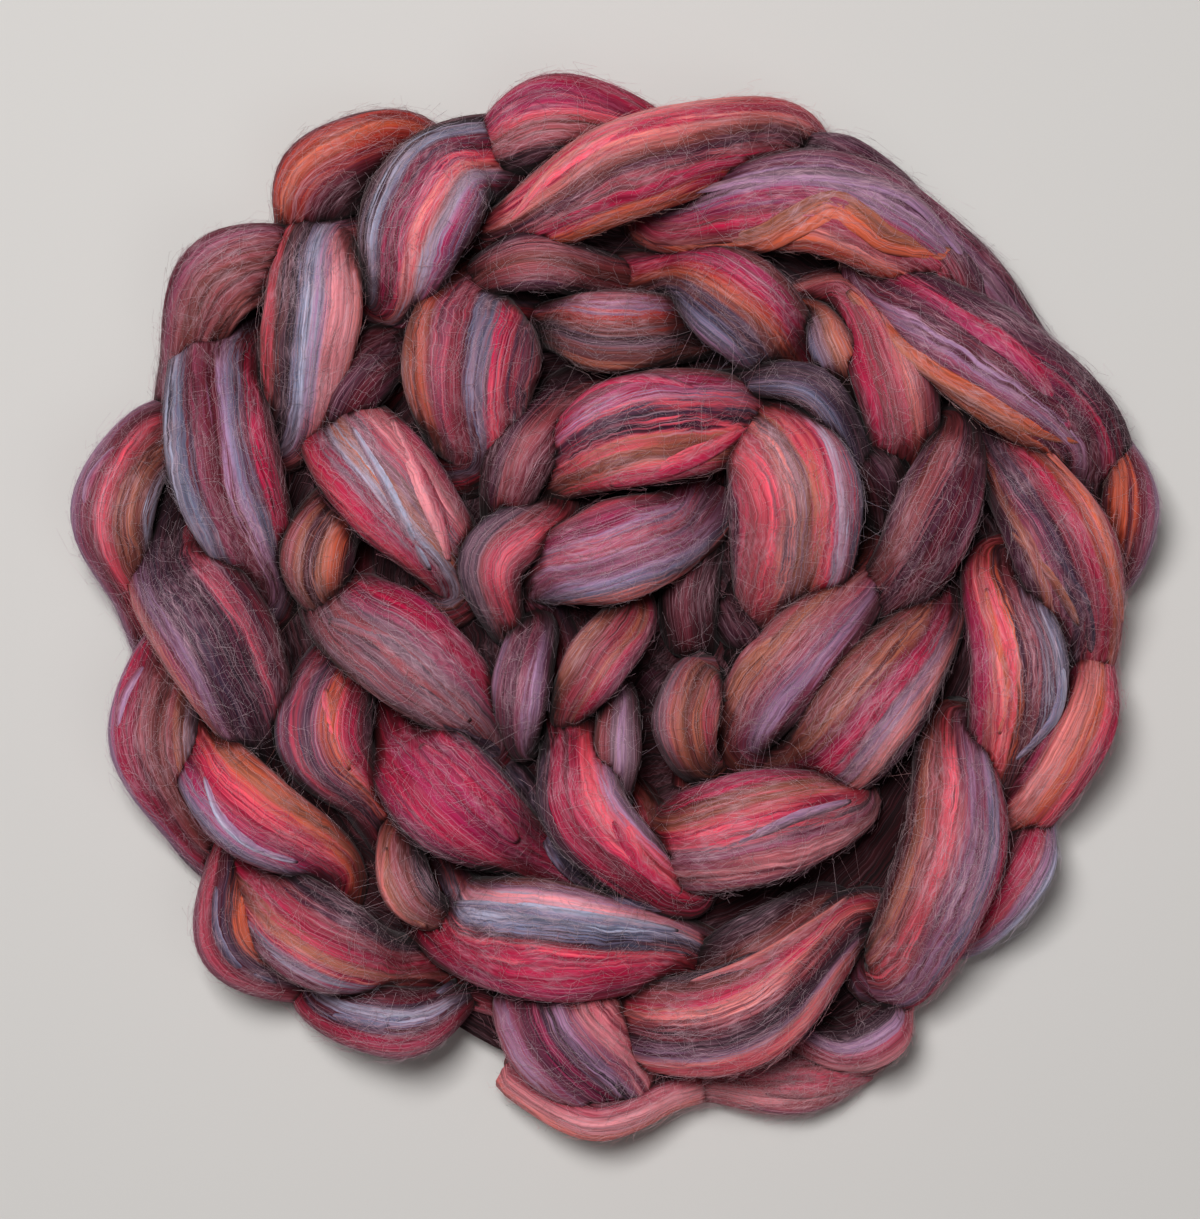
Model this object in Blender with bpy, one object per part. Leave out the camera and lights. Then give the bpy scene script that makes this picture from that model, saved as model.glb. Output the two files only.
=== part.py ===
"""A braid of combed wool roving: three soft strands plaited and laid down as a flat, clockwise coil.

Metres, +Z up. The coil rests on the plane z = 0, with the middle of its outline on the origin.
The wool is one fused body. Every strand runs through the whole plait: it shows as a row of lobes,
each one rising at one side, crossing over the plait and diving under the next lobe.
"""

from collections import namedtuple

import bmesh
import bpy
import numpy as np
from mathutils import Matrix

MM = 0.001

# How a strand is shaped. Widths and heights are in millimetres.
THICKNESS_SHARE = 0.68  # thickness of a strand over its width
THINNEST, THICKEST = 7.0, 19.0
END_WIDTH_SHARE = 0.80  # width where a lobe rises or dives, over its width at the crown
RISE_SHARE, DIVE_SHARE = 0.54, 0.60  # height of the strand's middle there, over that at the crown
UNDER_WIDTH, UNDER_THICKNESS = 25.0, 18.0  # the most of each where a strand passes underneath
UNDER_HEIGHT = 7.0  # height of the strand's middle there
TIP_WIDTH, TIP_THICKNESS = 6.0, 4.0
LOOSE_TIP_WIDTH = 15.0  # of the outer end, which lies spread out
BED_THICKNESS, BED_HEIGHT = 16.0, 7.5  # of the wool pressed together along the underside
RING_STEP = 2.0  # spacing of the cross-sections along a strand
RING_SIDES = 20

# How the fused body is meshed
VOXEL = 2.2
SMOOTH_PASSES = 3
TRIANGLES = 10400
FLOOR_CUT = (0.40, 0.40, 0.05)  # the block that takes off what would lie below z = 0

WOOL_COLOUR = (0.26, 0.085, 0.115, 1.0)
WOOL_ROUGHNESS = 0.9

# One row for each lobe, in the order of its strand, from the outer end of the braid to the middle
# of the coil. rise, crown and dive are x, y in millimetres, width is across the lobe at its crown
# and top is the height of its crown over the surface.
Lobe = namedtuple("Lobe", "rise crown dive width top")

STRAND_A = (
    Lobe((70, -113), (47, -120), (25, -120), 20, 15),
    Lobe((14, -123), (-5, -129), (-25, -120), 13, 25),
    Lobe((4, -124), (-9, -108), (-17, -92), 30, 34),
    Lobe((-56, -91), (-73, -84), (-90, -72), 25, 42),
    Lobe((-107, -57), (-116, -34), (-111, -12), 22, 31),
    Lobe((-88, 5), (-98, 34), (-101, 65), 29, 43),
    Lobe((-80, 94), (-73, 107), (-54, 116), 25, 32),
    Lobe((-30, 93), (2, 108), (39, 118), 25, 44),
    Lobe((64, 104), (82, 86), (93, 66), 15, 28),
    Lobe((97, 42), (112, 15), (118, -8), 25, 43),
    Lobe((108, -54), (103, -66), (90, -83), 16, 30),
    Lobe((60, -80), (33, -101), (4, -105), 27, 43),
    Lobe((-40, -81), (-51, -71), (-53, -56), 14, 35),
    Lobe((-31, -33), (-51, -12), (-69, 1), 27, 44),
    Lobe((-71, 41), (-67, 55), (-54, 66), 19, 33),
    Lobe((-16, 71), (-1, 68), (17, 70), 21, 40),
    Lobe((58, 79), (69, 58), (73, 39), 21, 38),
    Lobe((65, 7), (48, -12), (33, -33), 23, 38),
    Lobe((60, -50), (36, -56), (12, -60), 29, 44),
    Lobe((-12, -31), (-5, -15), (4, -1), 16, 40),
    Lobe((-27, 17), (-23, 38), (-8, 54), 18, 33),
    Lobe((25, 56), (50, 54), (62, 31), 12, 37),
    Lobe((42, -8), (34, 0), (28, 10), 22, 19),
)

STRAND_B = (
    Lobe((6, -120), (-18, -101), (-46, -95), 15, 20),
    Lobe((-78, -96), (-95, -85), (-96, -66), 18, 31),
    Lobe((-88, -36), (-98, -10), (-112, 11), 30, 43),
    Lobe((-109, 58), (-99, 81), (-80, 87), 22, 35),
    Lobe((-56, 77), (-49, 97), (-35, 112), 30, 42),
    Lobe((44, 115), (57, 110), (73, 101), 15, 33),
    Lobe((65, 82), (93, 61), (119, 41), 28, 44),
    Lobe((121, -11), (116, -30), (100, -55), 19, 34),
    Lobe((85, -31), (84, -61), (71, -92), 27, 44),
    Lobe((54, -75), (35, -85), (20, -91), 16, 33),
    Lobe((-22, -62), (-39, -49), (-54, -34), 29, 43),
    Lobe((-72, -1), (-74, 12), (-67, 26), 19, 37),
    Lobe((-36, 38), (-36, 59), (-31, 76), 35, 41),
    Lobe((15, 83), (30, 76), (42, 65), 25, 41),
    Lobe((54, 46), (67, 34), (73, 16), 15, 26),
    Lobe((82, -2), (65, -24), (50, -41), 28, 42),
    Lobe((3, -52), (1, -36), (0, -22), 12, 35),
    Lobe((-23, -36), (-23, -21), (-20, -6), 15, 38),
    Lobe((-27, -5), (-30, 11), (-16, 23), 17, 38),
    Lobe((-15, 34), (6, 44), (33, 46), 28, 44),
    Lobe((26, 21), (19, 4), (20, -12), 16, 28),
    Lobe((16, -16), (10, -20), (6, -28), 18, 16),
)

STRAND_C = (
    Lobe((-36, -99), (-53, -105), (-75, -99), 18, 33),
    Lobe((-70, -67), (-90, -52), (-104, -37), 23, 42),
    Lobe((-121, 2), (-126, 23), (-116, 43), 21, 33),
    Lobe((-82, 42), (-76, 70), (-73, 94), 24, 42),
    Lobe((-33, 114), (-16, 121), (5, 117), 25, 33),
    Lobe((13, 96), (52, 100), (85, 84), 26, 43),
    Lobe((127, 41), (130, 25), (126, 8), 15, 30),
    Lobe((96, 10), (101, -15), (98, -42), 25, 42),
    Lobe((73, -99), (67, -108), (54, -111), 16, 26),
    Lobe((17, -88), (-14, -84), (-39, -80), 30, 42),
    Lobe((-62, -49), (-72, -33), (-67, -15), 24, 38),
    Lobe((-39, 6), (-55, 29), (-68, 48), 28, 42),
    Lobe((-40, 79), (-21, 86), (-1, 83), 15, 35),
    Lobe((49, 75), (55, 64), (62, 51), 12, 35),
    Lobe((87, 44), (80, 23), (70, 3), 22, 40),
    Lobe((25, -40), (18, -30), (22, -19), 17, 35),
    Lobe((19, -73), (-6, -54), (-10, -33), 22, 42),
    Lobe((-20, 6), (0, 14), (17, 21), 25, 42),
    Lobe((35, 45), (45, 29), (44, 3), 33, 44),
    Lobe((40, -12), (34, -18), (28, -22), 20, 16),
)

# The course of the coil's underside, where the plait's passes are pressed together: x, y and width.
UNDERSIDE = (
    (30, -112, 14),
    (0, -112, 24),
    (-40, -100, 34),
    (-78, -78, 36),
    (-100, -41, 36),
    (-107, 0, 36),
    (-98, 43, 36),
    (-78, 80, 36),
    (-43, 103, 38),
    (2, 109, 38),
    (49, 99, 38),
    (88, 74, 40),
    (107, 41, 40),
    (110, 4, 40),
    (100, -34, 42),
    (79, -69, 42),
    (46, -90, 40),
    (4, -93, 42),
    (-30, -80, 46),
    (-58, -52, 48),
    (-72, -14, 50),
    (-66, 26, 50),
    (-48, 56, 50),
    (-16, 76, 46),
    (22, 78, 46),
    (56, 66, 46),
    (74, 36, 46),
    (76, 2, 46),
    (60, -32, 46),
    (34, -56, 44),
    (4, -54, 42),
    (-18, -34, 40),
    (-24, -4, 40),
    (-12, 24, 40),
    (12, 42, 38),
    (40, 38, 36),
    (42, 12, 36),
    (26, -6, 34),
    (10, -16, 30),
)


def clear_scene():
    for old in list(bpy.data.objects):
        bpy.data.objects.remove(old, do_unlink=True)


def wool_material():
    material = bpy.data.materials.new("dyed_wool")
    material.use_nodes = True
    shader = material.node_tree.nodes["Principled BSDF"]
    shader.inputs["Base Color"].default_value = WOOL_COLOUR
    shader.inputs["Roughness"].default_value = WOOL_ROUGHNESS
    shader.inputs["Metallic"].default_value = 0.0
    return material


def stations_of(lobes, first_width):
    """Rows of x, y, z, width and thickness that the strand's middle line runs through."""
    rows = []
    for lobe in lobes:
        thickness = min(max(THICKNESS_SHARE * lobe.width, THINNEST), THICKEST)
        height = lobe.top - thickness / 2
        end = (END_WIDTH_SHARE * lobe.width, min(thickness, UNDER_THICKNESS))
        if rows:
            halfway = [(was + now) / 2 for was, now in zip(rows[-1][:2], lobe.rise)]
            under_width = min(UNDER_WIDTH, (rows[-1][3] + end[0]) / 2)
            rows.append((*halfway, UNDER_HEIGHT, under_width, min(UNDER_THICKNESS, under_width)))
        rows.append((*lobe.rise, RISE_SHARE * height, *end))
        rows.append((*lobe.crown, height, lobe.width, thickness))
        rows.append((*lobe.dive, DIVE_SHARE * height, *end))
    rows[0] = (*rows[0][:3], first_width, TIP_THICKNESS)
    rows[-1] = (*rows[-1][:3], TIP_WIDTH, TIP_THICKNESS)
    return np.array(rows)


def smooth_run(stations):
    """The stations joined by a smooth curve (Catmull-Rom), one row for each cross-section."""
    before = np.vstack([stations[:1], stations[:-1]])
    after = np.vstack([stations[1:], stations[-1:]])
    slopes = (after - before) / 2
    rows = []
    for start, end, leaving, arriving in zip(stations[:-1], stations[1:], slopes[:-1], slopes[1:]):
        steps = max(2, round(float(np.linalg.norm(end[:3] - start[:3])) / RING_STEP))
        for t in np.arange(steps) / steps:
            rows.append(
                (2 * t**3 - 3 * t**2 + 1) * start
                + (t**3 - 2 * t**2 + t) * leaving
                + (3 * t**2 - 2 * t**3) * end
                + (t**3 - t**2) * arriving
            )
    rows.append(stations[-1])
    return np.array(rows)


def add_length(mesh, stations):
    """Sweeps an ellipse through the stations, its long axis level, and closes both ends."""
    run = smooth_run(stations)
    middles, widths, thicknesses = run[:, :3], run[:, 3], run[:, 4]
    along = np.gradient(middles, axis=0)
    along /= np.linalg.norm(along, axis=1)[:, None]
    across = np.stack([-along[:, 1], along[:, 0], np.zeros(len(along))], axis=1)
    across /= np.linalg.norm(across, axis=1)[:, None]
    outward = np.cross(along, across)
    turn = 2 * np.pi * np.arange(RING_SIDES) / RING_SIDES
    rings = []
    for middle, side, lift, width, thickness in zip(middles, across, outward, widths, thicknesses):
        points = (
            middle
            + np.outer(np.cos(turn) * width / 2, side)
            + np.outer(np.sin(turn) * thickness / 2, lift)
        )
        rings.append([mesh.verts.new(point * MM) for point in points])
    for ring, following in zip(rings[:-1], rings[1:]):
        for i in range(RING_SIDES):
            j = (i + 1) % RING_SIDES
            mesh.faces.new((ring[i], ring[j], following[j], following[i]))
    mesh.faces.new(rings[0])
    mesh.faces.new(rings[-1])


def keep_outer_shell(mesh):
    """Deletes every island of faces but the largest, so that no sealed pocket is left inside."""
    unseen = set(mesh.verts)
    islands = []
    while unseen:
        island = {unseen.pop()}
        edge_of_island = list(island)
        while edge_of_island:
            vert = edge_of_island.pop()
            for edge in vert.link_edges:
                other = edge.other_vert(vert)
                if other in unseen:
                    unseen.remove(other)
                    island.add(other)
                    edge_of_island.append(other)
        islands.append(island)
    largest = max(islands, key=len)
    spare = [vert for vert in mesh.verts if vert not in largest]
    bmesh.ops.delete(mesh, geom=spare, context="VERTS")


def baked(obj):
    """The object's mesh as its modifiers leave it, with the modifiers then removed."""
    bpy.context.view_layer.update()
    graph = bpy.context.evaluated_depsgraph_get()
    result = bpy.data.meshes.new_from_object(obj.evaluated_get(graph))
    obj.modifiers.clear()
    obj.data = result


def make_braid():
    shape = bmesh.new()
    for lobes, first_width in (
        (STRAND_A, LOOSE_TIP_WIDTH),
        (STRAND_B, TIP_WIDTH),
        (STRAND_C, TIP_WIDTH),
    ):
        add_length(shape, stations_of(lobes, first_width))
    bed = [(x, y, BED_HEIGHT, width, BED_THICKNESS) for x, y, width in UNDERSIDE]
    add_length(shape, np.array(bed, float))
    bmesh.ops.recalc_face_normals(shape, faces=shape.faces)
    data = bpy.data.meshes.new("braid")
    shape.to_mesh(data)
    shape.free()
    braid = bpy.data.objects.new("braid", data)
    bpy.context.collection.objects.link(braid)

    fuse = braid.modifiers.new("fuse", "REMESH")
    fuse.mode = "VOXEL"
    fuse.voxel_size = VOXEL * MM
    soften = braid.modifiers.new("soften", "SMOOTH")
    soften.factor = 0.5
    soften.iterations = SMOOTH_PASSES
    baked(braid)

    shape = bmesh.new()
    shape.from_mesh(braid.data)
    keep_outer_shell(shape)
    shape.to_mesh(braid.data)
    shape.free()

    thin = braid.modifiers.new("thin", "DECIMATE")
    thin.ratio = TRIANGLES / (2 * len(braid.data.polygons))
    baked(braid)
    return braid


def centre_outline(braid):
    """Slides the braid level until the middle of its outline is over the origin."""
    points = np.array([vert.co for vert in braid.data.vertices])
    middle = (points.min(axis=0) + points.max(axis=0)) / 2
    braid.data.transform(Matrix.Translation((-middle[0], -middle[1], 0)))


def rest_flat(braid):
    """Cuts the underside level at z = 0, where the coil presses on the surface."""
    block = bmesh.new()
    bmesh.ops.create_cube(block, size=1.0)
    bmesh.ops.scale(block, vec=FLOOR_CUT, verts=block.verts)
    bmesh.ops.translate(block, vec=(0, 0, -FLOOR_CUT[2] / 2), verts=block.verts)
    data = bpy.data.meshes.new("floor_cut")
    block.to_mesh(data)
    block.free()
    cutter = bpy.data.objects.new("floor_cut", data)
    cutter.hide_render = True
    cutter.display_type = "WIRE"
    bpy.context.collection.objects.link(cutter)
    level = braid.modifiers.new("level_underside", "BOOLEAN")
    level.operation = "DIFFERENCE"
    level.solver = "EXACT"
    level.object = cutter


clear_scene()
braid = make_braid()
centre_outline(braid)
rest_flat(braid)
braid.data.materials.clear()
braid.data.materials.append(wool_material())
braid.data.shade_smooth()
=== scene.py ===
import math
from collections import namedtuple

import bpy
import numpy as np
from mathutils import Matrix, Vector
from mathutils.bvhtree import BVHTree


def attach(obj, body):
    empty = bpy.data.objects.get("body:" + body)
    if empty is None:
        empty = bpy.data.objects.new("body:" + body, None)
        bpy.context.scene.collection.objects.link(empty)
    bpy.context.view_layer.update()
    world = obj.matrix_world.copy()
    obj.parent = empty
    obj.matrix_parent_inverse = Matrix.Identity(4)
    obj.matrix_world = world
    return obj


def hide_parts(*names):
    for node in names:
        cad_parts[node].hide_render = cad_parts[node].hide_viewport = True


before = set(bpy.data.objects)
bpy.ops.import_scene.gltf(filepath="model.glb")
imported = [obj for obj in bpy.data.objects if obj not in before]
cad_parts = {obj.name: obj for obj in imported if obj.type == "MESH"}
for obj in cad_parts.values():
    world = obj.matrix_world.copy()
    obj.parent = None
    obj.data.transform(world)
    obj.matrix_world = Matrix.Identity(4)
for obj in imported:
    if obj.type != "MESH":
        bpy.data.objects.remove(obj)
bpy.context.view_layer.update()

# --------------------------------------------------------------------------------------------------
# The three combed strands. Each is a soft rope of dyed wool whose fibres lie side by side, so its
# dyes show as bands. They are plaited and coiled, and each strand shows as a row of lobes that rise
# at one side of the plait, cross over it and dive under the next. Each is one swept, ridged tube.
# --------------------------------------------------------------------------------------------------

MM = 0.001  # the sizes of the wool are in millimetres until its mesh is made

# The dyes, as red, green and blue from 0 to 255 on a screen.
DYES = {
    "brown": (122, 72, 68),
    "charcoal": (60, 48, 58),
    "coral": (208, 99, 114),
    "crimson": (172, 40, 84),
    "dusk": (152, 90, 96),
    "grey": (134, 110, 122),
    "ice": (172, 174, 192),
    "lilac": (158, 130, 156),
    "magenta": (152, 48, 92),
    "maroon": (104, 38, 54),
    "mauve": (142, 80, 102),
    "orange": (186, 106, 80),
    "pink": (212, 148, 154),
    "plum": (84, 46, 66),
    "rose": (170, 82, 99),
    "rust": (162, 66, 54),
    "salmon": (206, 134, 130),
    "slate": (80, 68, 86),
    "steel": (122, 124, 146),
    "tan": (160, 108, 90),
    "wine": (68, 26, 38),
}

# One row for each lobe, in the order of its strand, from the outer end of the braid to the middle
# of the coil. rise, crown and dive are x, y in millimetres, width is across the lobe at its crown,
# top is the height of its crown, and dyes are its bands from left to right of the way along.
Lobe = namedtuple("Lobe", "rise crown dive width top dyes")

STRAND_A = (
    Lobe((70, -113), (47, -120), (25, -120), 20, 15, "dusk pink dusk rose dusk mauve"),
    Lobe((14, -123), (-5, -129), (-25, -120), 13, 25, "salmon pink pink rose wine wine"),
    Lobe((2, -124), (-12, -108), (-21, -93), 32, 34,
         "rose lilac mauve plum magenta charcoal lilac mauve pink rose pink salmon"),
    Lobe((-56, -91), (-73, -84), (-90, -72), 25, 42,
         "maroon mauve ice crimson salmon tan rose crimson dusk plum charcoal charcoal plum"),
    Lobe((-107, -57), (-116, -34), (-111, -12), 22, 31,
         "lilac crimson maroon dusk brown dusk tan ice"),
    Lobe((-87, 4), (-97, 34), (-101, 65), 28, 43,
         "slate ice steel maroon mauve maroon maroon lilac steel maroon crimson maroon"),
    Lobe((-80, 94), (-73, 107), (-54, 116), 25, 32,
         "maroon rust orange rust maroon wine wine wine"),
    Lobe((-30, 93), (2, 108), (39, 118), 25, 44,
         "salmon coral crimson salmon brown plum dusk crimson crimson orange orange"),
    Lobe((64, 104), (82, 86), (93, 66), 15, 28, "plum maroon rose plum"),
    Lobe((97, 42), (112, 15), (118, -8), 25, 43,
         "rose salmon orange crimson rose plum slate mauve tan plum"),
    Lobe((108, -54), (103, -66), (90, -83), 16, 30, "ice lilac rose crimson maroon wine"),
    Lobe((60, -80), (33, -101), (4, -105), 27, 43,
         "coral salmon lilac plum charcoal maroon dusk salmon crimson dusk brown charcoal"),
    Lobe((-40, -81), (-51, -71), (-53, -56), 14, 35, "salmon tan dusk brown charcoal charcoal"),
    Lobe((-31, -33), (-51, -12), (-69, 1), 27, 44,
         "brown grey dusk grey dusk grey mauve crimson crimson magenta"),
    Lobe((-71, 41), (-67, 55), (-54, 66), 19, 33, "wine maroon plum maroon plum"),
    Lobe((-16, 71), (-1, 68), (17, 70), 21, 40,
         "maroon dusk lilac rust brown charcoal grey brown tan brown"),
    Lobe((58, 79), (69, 58), (73, 39), 21, 38, "mauve dusk salmon rose dusk crimson maroon"),
    Lobe((65, 7), (48, -12), (33, -33), 23, 38, "plum mauve lilac mauve dusk tan dusk"),
    Lobe((60, -50), (36, -56), (12, -60), 29, 44,
         "mauve dusk pink dusk mauve grey coral crimson coral tan brown crimson magenta"),
    Lobe((-12, -31), (-5, -15), (4, -1), 16, 40, "dusk tan brown rose tan crimson mauve"),
    Lobe((-27, 17), (-23, 38), (-8, 54), 18, 33, "wine plum dusk maroon wine"),
    Lobe((25, 56), (50, 54), (62, 31), 12, 37, "slate charcoal slate steel charcoal"),
    Lobe((42, -8), (34, 0), (28, 10), 22, 19, "plum wine plum"),
)

STRAND_B = (
    Lobe((6, -120), (-18, -101), (-46, -95), 15, 20, "rose wine wine"),
    Lobe((-78, -96), (-95, -85), (-96, -66), 18, 31, "mauve rose maroon slate orange orange wine"),
    Lobe((-88, -36), (-98, -10), (-112, 11), 30, 43,
         "salmon mauve lilac plum slate plum charcoal plum rose plum maroon"),
    Lobe((-109, 58), (-99, 81), (-80, 87), 22, 35, "maroon mauve dusk brown dusk brown salmon"),
    Lobe((-56, 77), (-49, 97), (-35, 112), 30, 42,
         "brown charcoal charcoal ice steel maroon magenta coral salmon ice lilac magenta "
         "steel plum"),
    Lobe((44, 115), (57, 110), (73, 101), 15, 33, "plum charcoal plum"),
    Lobe((65, 82), (93, 61), (119, 41), 28, 44,
         "plum plum plum crimson magenta plum maroon lilac mauve plum orange tan"),
    Lobe((121, -11), (116, -30), (100, -55), 19, 34,
         "crimson coral orange salmon salmon magenta mauve"),
    Lobe((85, -31), (84, -61), (71, -92), 27, 44,
         "crimson steel lilac mauve lilac mauve dusk coral brown dusk tan brown wine"),
    Lobe((54, -75), (35, -85), (20, -91), 16, 33, "brown dusk brown wine charcoal"),
    Lobe((-22, -62), (-39, -49), (-54, -34), 29, 43,
         "plum magenta crimson crimson magenta crimson magenta crimson slate"),
    Lobe((-72, -1), (-74, 12), (-67, 26), 19, 37, "brown dusk tan wine tan orange wine plum"),
    Lobe((-36, 38), (-36, 59), (-31, 76), 35, 41,
         "tan brown orange dusk mauve rose maroon steel grey crimson coral rose slate dusk maroon"),
    Lobe((15, 83), (30, 76), (42, 65), 25, 41,
         "maroon brown magenta crimson rust orange brown slate steel lilac"),
    Lobe((54, 46), (67, 34), (73, 16), 15, 26, "wine plum wine"),
    Lobe((82, -2), (65, -24), (50, -41), 28, 42,
         "plum grey salmon pink lilac grey crimson crimson magenta brown tan brown dusk tan brown"),
    Lobe((3, -52), (1, -36), (0, -22), 12, 35, "brown dusk grey lilac grey wine"),
    Lobe((-23, -36), (-23, -21), (-20, -6), 15, 38, "lilac mauve plum mauve lilac plum charcoal"),
    Lobe((-27, -5), (-30, 11), (-16, 23), 17, 38, "slate grey dusk rose coral rose maroon"),
    Lobe((-15, 34), (6, 44), (33, 46), 28, 44,
         "dusk rose mauve crimson lilac coral slate plum coral tan brown tan coral crimson rose"),
    Lobe((26, 21), (19, 4), (20, -12), 16, 23, "wine wine maroon wine"),
    Lobe((16, -16), (10, -20), (6, -28), 18, 16, "wine plum wine"),
)

STRAND_C = (
    Lobe((-36, -99), (-53, -105), (-75, -99), 18, 33,
         "mauve rose crimson maroon steel ice plum maroon wine"),
    Lobe((-70, -67), (-90, -52), (-104, -37), 23, 42,
         "mauve steel lilac magenta rose crimson coral orange tan orange rust"),
    Lobe((-121, 2), (-126, 23), (-116, 43), 21, 33,
         "lilac mauve maroon rose coral brown tan brown ice"),
    Lobe((-82, 42), (-76, 70), (-73, 94), 24, 42,
         "brown coral brown charcoal charcoal steel ice lilac pink pink pink salmon"),
    Lobe((-33, 114), (-16, 121), (5, 117), 25, 33,
         "crimson crimson magenta coral brown dusk charcoal plum wine"),
    Lobe((13, 96), (52, 100), (85, 84), 26, 43,
         "plum mauve plum lilac grey lilac magenta dusk crimson rose dusk salmon orange rust"),
    Lobe((127, 41), (130, 25), (126, 8), 15, 30, "lilac mauve maroon orange orange maroon"),
    Lobe((96, 10), (101, -15), (98, -42), 25, 42,
         "slate steel ice plum dusk plum orange coral salmon crimson magenta maroon"),
    Lobe((73, -99), (67, -108), (54, -111), 16, 26, "pink rose lilac charcoal wine"),
    Lobe((17, -88), (-14, -84), (-39, -80), 30, 42,
         "crimson magenta crimson crimson crimson coral charcoal steel ice pink lilac brown"),
    Lobe((-62, -49), (-72, -33), (-67, -15), 24, 38,
         "steel mauve rose slate mauve orange coral crimson maroon plum"),
    Lobe((-39, 6), (-55, 29), (-68, 48), 28, 42,
         "crimson coral crimson grey ice tan grey rose pink rose mauve"),
    Lobe((-40, 79), (-21, 86), (-1, 83), 15, 35, "plum dusk brown dusk plum"),
    Lobe((49, 75), (55, 64), (62, 51), 12, 35, "brown orange tan grey steel"),
    Lobe((87, 44), (80, 23), (70, 3), 22, 40, "mauve plum maroon plum dusk brown plum"),
    Lobe((25, -40), (18, -30), (22, -19), 17, 35, "grey dusk tan brown tan rose salmon"),
    Lobe((19, -73), (-6, -54), (-10, -33), 22, 42,
         "slate plum crimson maroon crimson coral coral lilac grey"),
    Lobe((-20, 6), (0, 14), (17, 21), 25, 42,
         "rose mauve magenta lilac rose lilac mauve lilac steel salmon"),
    Lobe((35, 45), (45, 29), (44, 3), 33, 44,
         "steel rose ice crimson coral tan grey salmon rose coral dusk rose plum"),
    Lobe((40, -12), (34, -18), (28, -22), 20, 16, "wine plum wine"),
)

THICKNESS_SHARE = 0.68  # thickness of a strand over its width
THINNEST, THICKEST = 7.0, 19.0
RISE_WIDTH_SHARE, DIVE_WIDTH_SHARE = 0.62, 0.84  # width there, over the width at the crown
RISE_SHARE, DIVE_SHARE = 0.46, 0.52  # height of the strand's middle there, over that at the crown
UNDER_WIDTH, UNDER_THICKNESS, UNDER_HEIGHT = 26.0, 16.0, 8.0  # where a strand passes underneath
END_LIT_SHARE = 0.45  # painted shade: how lit a lobe's end is left, where it dives under the next
TIP_WIDTH, TIP_THICKNESS, FRAYED_TIP_WIDTH = 6.0, 4.0, 9.0
FRAYED_LENGTH = 60.0  # of the loose outer end
PRESSED = 2.5  # the wool within this height of the floor is pressed flat on it
STATIONS_OF_A_LOBE = 4  # rise, crown, dive and the pass underneath

# Nothing covers the first stations of the loose outer end, so they get no painted shade. After its
# first crown the strand has these heights, widths and thicknesses, since it doesn't pass
# underneath.
OPEN_STATIONS = 6
OPEN_RUN = ((8.0, 15.0, 8.0), (9.5, 13.0, 9.0), (13.0, 12.0, 9.0))

RING_STEP = 2.0  # spacing of the cross-sections along a strand
RING_SIDES = 72
CROWDING = 0.35  # how far the points of a cross-section are gathered on its upper side
LOCKS, WISPS = 20, 56  # ridges round a strand: bundles of fibre, and the finer wisps in them
LOCK_DEPTH, WISP_DEPTH = 0.32, 0.13
FOLDS, FOLD_DEPTH = 7, 1.1  # the few broad folds that a strand is bunched into
LOCK_LENGTH, WISP_LENGTH, FOLD_LENGTH = 34, 15, 58  # over which each keeps its shape
FULL_WIDTH = 22.0  # of a strand with ridges of full depth
DRIFT, DRIFT_LENGTH, DRIFTS_ROUND = 0.045, 45, 3  # how far fibres wander round a strand, in laps
WAVER, WAVER_LENGTH, WAVERS_ROUND = 0.020, 16, 6  # the same, for their short waves

BAND_SAMPLES = 96
BAND_CRISPNESS = 1.6  # 1 for bands that run wholly into each other, and more for sharper ones
BAND_OVERLAP = 0.030  # half the share of the width over which two bands comb into each other
LOCK_STRAY, WISP_STRAY = 0.040, 0.055  # how far each wanders into the next bands, as a share
LOCK_STRAY_LENGTH, WISP_STRAY_LENGTH = 38, 22
FLAT_SHARE, ROUND_SHARE = 0.6, 0.4  # how far bands lie side by side, and how far round the strand
DYE_CHANGE_START, DYE_CHANGE_RUN = 0.58, 0.34  # of the way on to the next lobe
NOISE_TILE = 256


def soft_noise(x, y, seed, lap=NOISE_TILE):
    """Smooth random values from -1 to 1, one bump to a unit square, repeating along y every lap."""
    heights = np.random.default_rng(seed).uniform(-1, 1, (NOISE_TILE, NOISE_TILE))
    column, row = np.floor(x).astype(int), np.floor(y).astype(int)
    u, v = x - column, y - row
    u, v = u * u * (3 - 2 * u), v * v * (3 - 2 * v)
    column, right = column % NOISE_TILE, (column + 1) % NOISE_TILE
    row, above = row % lap % NOISE_TILE, (row + 1) % lap % NOISE_TILE
    low = heights[column, row] * (1 - u) + heights[right, row] * u
    high = heights[column, above] * (1 - u) + heights[right, above] * u
    return low * (1 - v) + high * v


def linear(dye):
    """A dye as the renderer's linear red, green and blue."""
    share = np.array(DYES[dye]) / 255
    return np.where(share > 0.04045, ((share + 0.055) / 1.055) ** 2.4, share / 12.92)


def bands_of(dyes):
    """The bands spread over a strand's width, as BAND_SAMPLES rows of red, green and blue."""
    bands = np.array([linear(dye) for dye in dyes.split()])
    place = np.clip(np.linspace(0, len(bands), BAND_SAMPLES) - 0.5, 0, len(bands) - 1.001)
    first = place.astype(int)
    share = np.clip(BAND_CRISPNESS * (place - first - 0.5) + 0.5, 0, 1)[:, None]
    return bands[first] * (1 - share) + bands[first + 1] * share


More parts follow.
